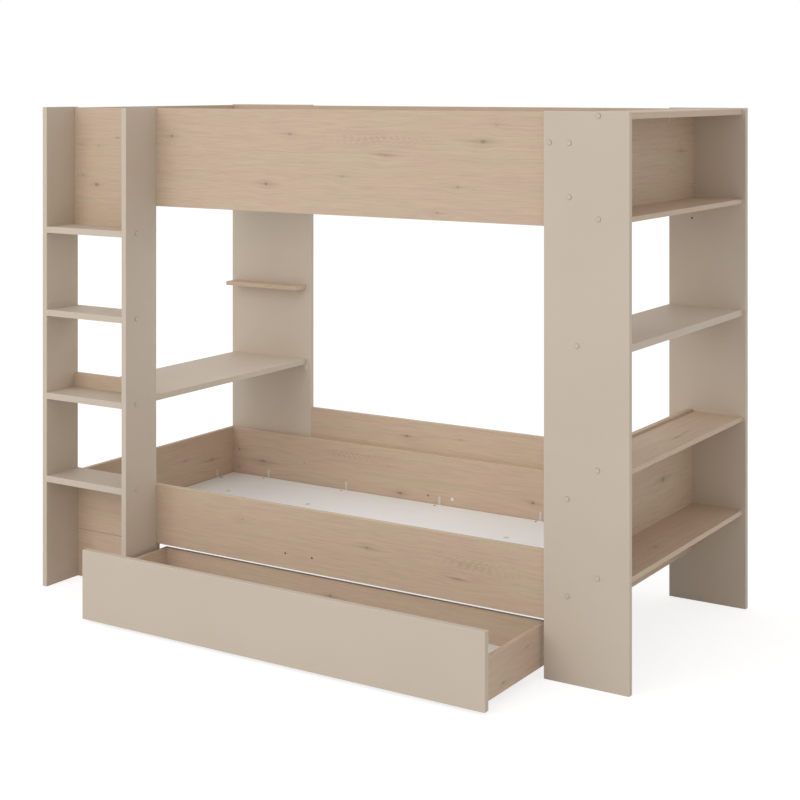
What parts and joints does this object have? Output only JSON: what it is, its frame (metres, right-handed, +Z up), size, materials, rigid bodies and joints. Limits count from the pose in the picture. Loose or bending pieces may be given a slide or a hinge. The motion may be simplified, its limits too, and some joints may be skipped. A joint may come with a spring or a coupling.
{
  "type": "bunk bed",
  "caption": "Bunk bed of panels with a ladder of steps over a desk at one end, a tower of side shelves at the other and a wide low drawer on castors.",
  "frame": {"origin": "on the floor, under the middle of the whole bed's outline with its drawer part open", "axes": "+X along the bed from the ladder to the shelf tower, +Y from the front to the wall, +Z up"},
  "size_m": [2.2486, 1.3454, 1.733],
  "materials": {
    "cashmere_board": "matte greige laminate on board, with matching edge bands",
    "woodgrain_board": "matte light knotty woodgrain laminate",
    "white_board": "matte white laminate",
    "bar_board": "raw board",
    "clear_plastic": "milky moulded plastic",
    "cap_plastic": "satin moulded plastic",
    "plug_plastic": "satin moulded plastic",
    "zinc_steel": "zinc plated",
    "beech": "raw beech",
    "wheel_plastic": "black moulded plastic"
  },
  "bodies": {
    "bed": {"ladder_left_panel": "cashmere_board", "ladder_right_panel": "cashmere_board", "ladder_step_1": "cashmere_board", "ladder_step_2": "cashmere_board", "ladder_step_3": "cashmere_board", "ladder_step_4": "cashmere_board", "wall_panel": "cashmere_board", "desk_top": "cashmere_board", "tower_front_panel": "cashmere_board", "tower_back_panel": "cashmere_board", "tower_shelf_middle": "cashmere_board", "ladder_top_board": "woodgrain_board", "desk_stop_strip": "woodgrain_board", "ladder_plinth_board": "woodgrain_board", "lower_front_rail": "woodgrain_board", "lower_back_rail": "woodgrain_board", "lower_left_end_board": "woodgrain_board", "lower_right_end_board": "woodgrain_board", "upper_front_rail": "woodgrain_board", "upper_back_rail": "woodgrain_board", "upper_left_end_board": "woodgrain_board", "upper_right_end_board": "woodgrain_board", "wall_ledge": "woodgrain_board", "wall_back_board": "woodgrain_board", "tower_top_board": "woodgrain_board", "tower_shelf_upper": "woodgrain_board", "tower_shelf_low": "woodgrain_board", "tower_shelf_bottom": "woodgrain_board", "lower_base_board": "white_board", "upper_base_board": "white_board", "lower_base_bars": "bar_board", "upper_base_bars": "bar_board", "lower_base_brackets": "clear_plastic", "upper_base_brackets": "clear_plastic", "desk_brackets": "clear_plastic", "top_board_brackets": "clear_plastic", "cover_caps": "cap_plastic", "rail_plug": "plug_plastic", "assembly_screws": "zinc_steel", "connecting_bolts": "zinc_steel", "barrel_nuts": "zinc_steel", "sleeve_nuts": "zinc_steel", "dowels": "beech"},
    "drawer": {"drawer_front": "cashmere_board", "drawer_left_side": "woodgrain_board", "drawer_right_side": "woodgrain_board", "drawer_back": "woodgrain_board", "drawer_bottom": "white_board", "drawer_bars": "bar_board", "drawer_dowels": "beech", "castor_forks": "zinc_steel", "castor_axles": "zinc_steel", "castor_screws": "zinc_steel"},
    "wheel_front_left": {"castor_wheel_front_left": "wheel_plastic"},
    "wheel_rear_left": {"castor_wheel_rear_left": "wheel_plastic"},
    "wheel_front_right": {"castor_wheel_front_right": "wheel_plastic"},
    "wheel_rear_right": {"castor_wheel_rear_right": "wheel_plastic"}
  },
  "joints": [
    {"name": "drawer_slide", "type": "slide", "parent": "bed", "child": "drawer", "axis": [0, -1, 0], "range_m": [-0.3585, 0.25]},
    {"name": "wheel_front_left_spin", "type": "hinge", "parent": "drawer", "child": "wheel_front_left", "pos_m": [-0.6602, -0.59075, 0.0125], "axis": [1, 0, 0], "continuous": true},
    {"name": "wheel_rear_left_spin", "type": "hinge", "parent": "drawer", "child": "wheel_rear_left", "pos_m": [-0.6602, -0.32675, 0.0125], "axis": [1, 0, 0], "continuous": true},
    {"name": "wheel_front_right_spin", "type": "hinge", "parent": "drawer", "child": "wheel_front_right", "pos_m": [0.7778, -0.59075, 0.0125], "axis": [1, 0, 0], "continuous": true},
    {"name": "wheel_rear_right_spin", "type": "hinge", "parent": "drawer", "child": "wheel_rear_right", "pos_m": [0.7778, -0.32675, 0.0125], "axis": [1, 0, 0], "continuous": true}
  ],
  "couplings": [
    {"joint": "wheel_front_left_spin", "follows": "drawer_slide", "rad_per_m": 80},
    {"joint": "wheel_rear_left_spin", "follows": "drawer_slide", "rad_per_m": 80},
    {"joint": "wheel_front_right_spin", "follows": "drawer_slide", "rad_per_m": 80},
    {"joint": "wheel_rear_right_spin", "follows": "drawer_slide", "rad_per_m": 80}
  ]
}
